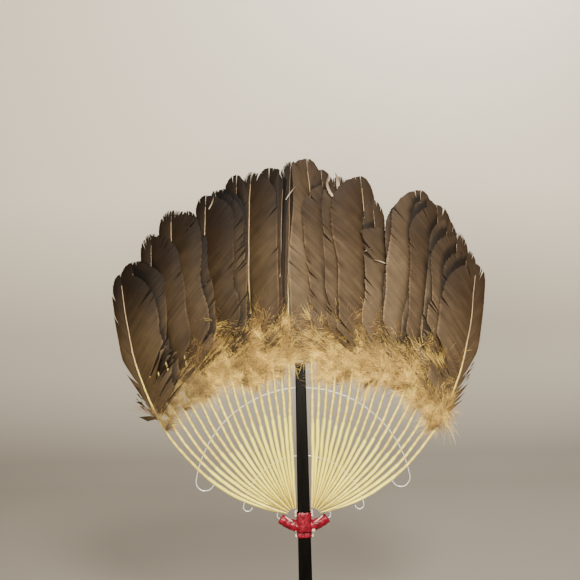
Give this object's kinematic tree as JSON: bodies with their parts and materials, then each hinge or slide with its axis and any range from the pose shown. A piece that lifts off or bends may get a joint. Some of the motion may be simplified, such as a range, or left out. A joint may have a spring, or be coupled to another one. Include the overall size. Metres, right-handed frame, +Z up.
{
  "type": "feather hand fan",
  "caption": "Hand fan of two mirrored wings of brown quill feathers on a flat black stick, with wire spreaders and a red taped collar.",
  "frame": {"origin": "centre of the flat butt end of the stick", "axes": "+Z up along the stick towards the feather tips, +X to the right wing, the front faces -Y"},
  "size_m": [0.3924, 0.0153, 0.5282],
  "materials": {
    "lacquer": "gloss black lacquer",
    "tape": "glossy crinkled red tape",
    "cord": "matt twisted cord",
    "wire": "satin",
    "feather": "matt brown vane, golden down and cream quill"
  },
  "bodies": {
    "root": {"stick": "lacquer", "collar_wrap": "tape", "collar_band": "tape", "lashing_upper": "cord", "lashing_lower": "cord", "arm_left": "tape", "arm_right": "tape", "tie_left": "cord", "tie_right": "cord", "wire_upper": "wire", "wire_middle": "wire", "keeper_left": "wire", "keeper_right": "wire", "feather_left_01": "feather", "feather_left_02": "feather", "feather_left_03": "feather", "feather_left_04": "feather", "feather_left_05": "feather", "feather_left_06": "feather", "feather_left_07": "feather", "feather_left_08": "feather", "feather_left_09": "feather", "feather_left_10": "feather", "feather_left_11": "feather", "feather_left_12": "feather", "feather_left_13": "feather", "feather_left_14": "feather", "feather_left_15": "feather", "feather_left_16": "feather", "feather_left_17": "feather", "feather_right_01": "feather", "feather_right_02": "feather", "feather_right_03": "feather", "feather_right_04": "feather", "feather_right_05": "feather", "feather_right_06": "feather", "feather_right_07": "feather", "feather_right_08": "feather", "feather_right_09": "feather", "feather_right_10": "feather", "feather_right_11": "feather", "feather_right_12": "feather", "feather_right_13": "feather", "feather_right_14": "feather", "feather_right_15": "feather", "feather_right_16": "feather", "feather_right_17": "feather"}
  },
  "joints": []
}
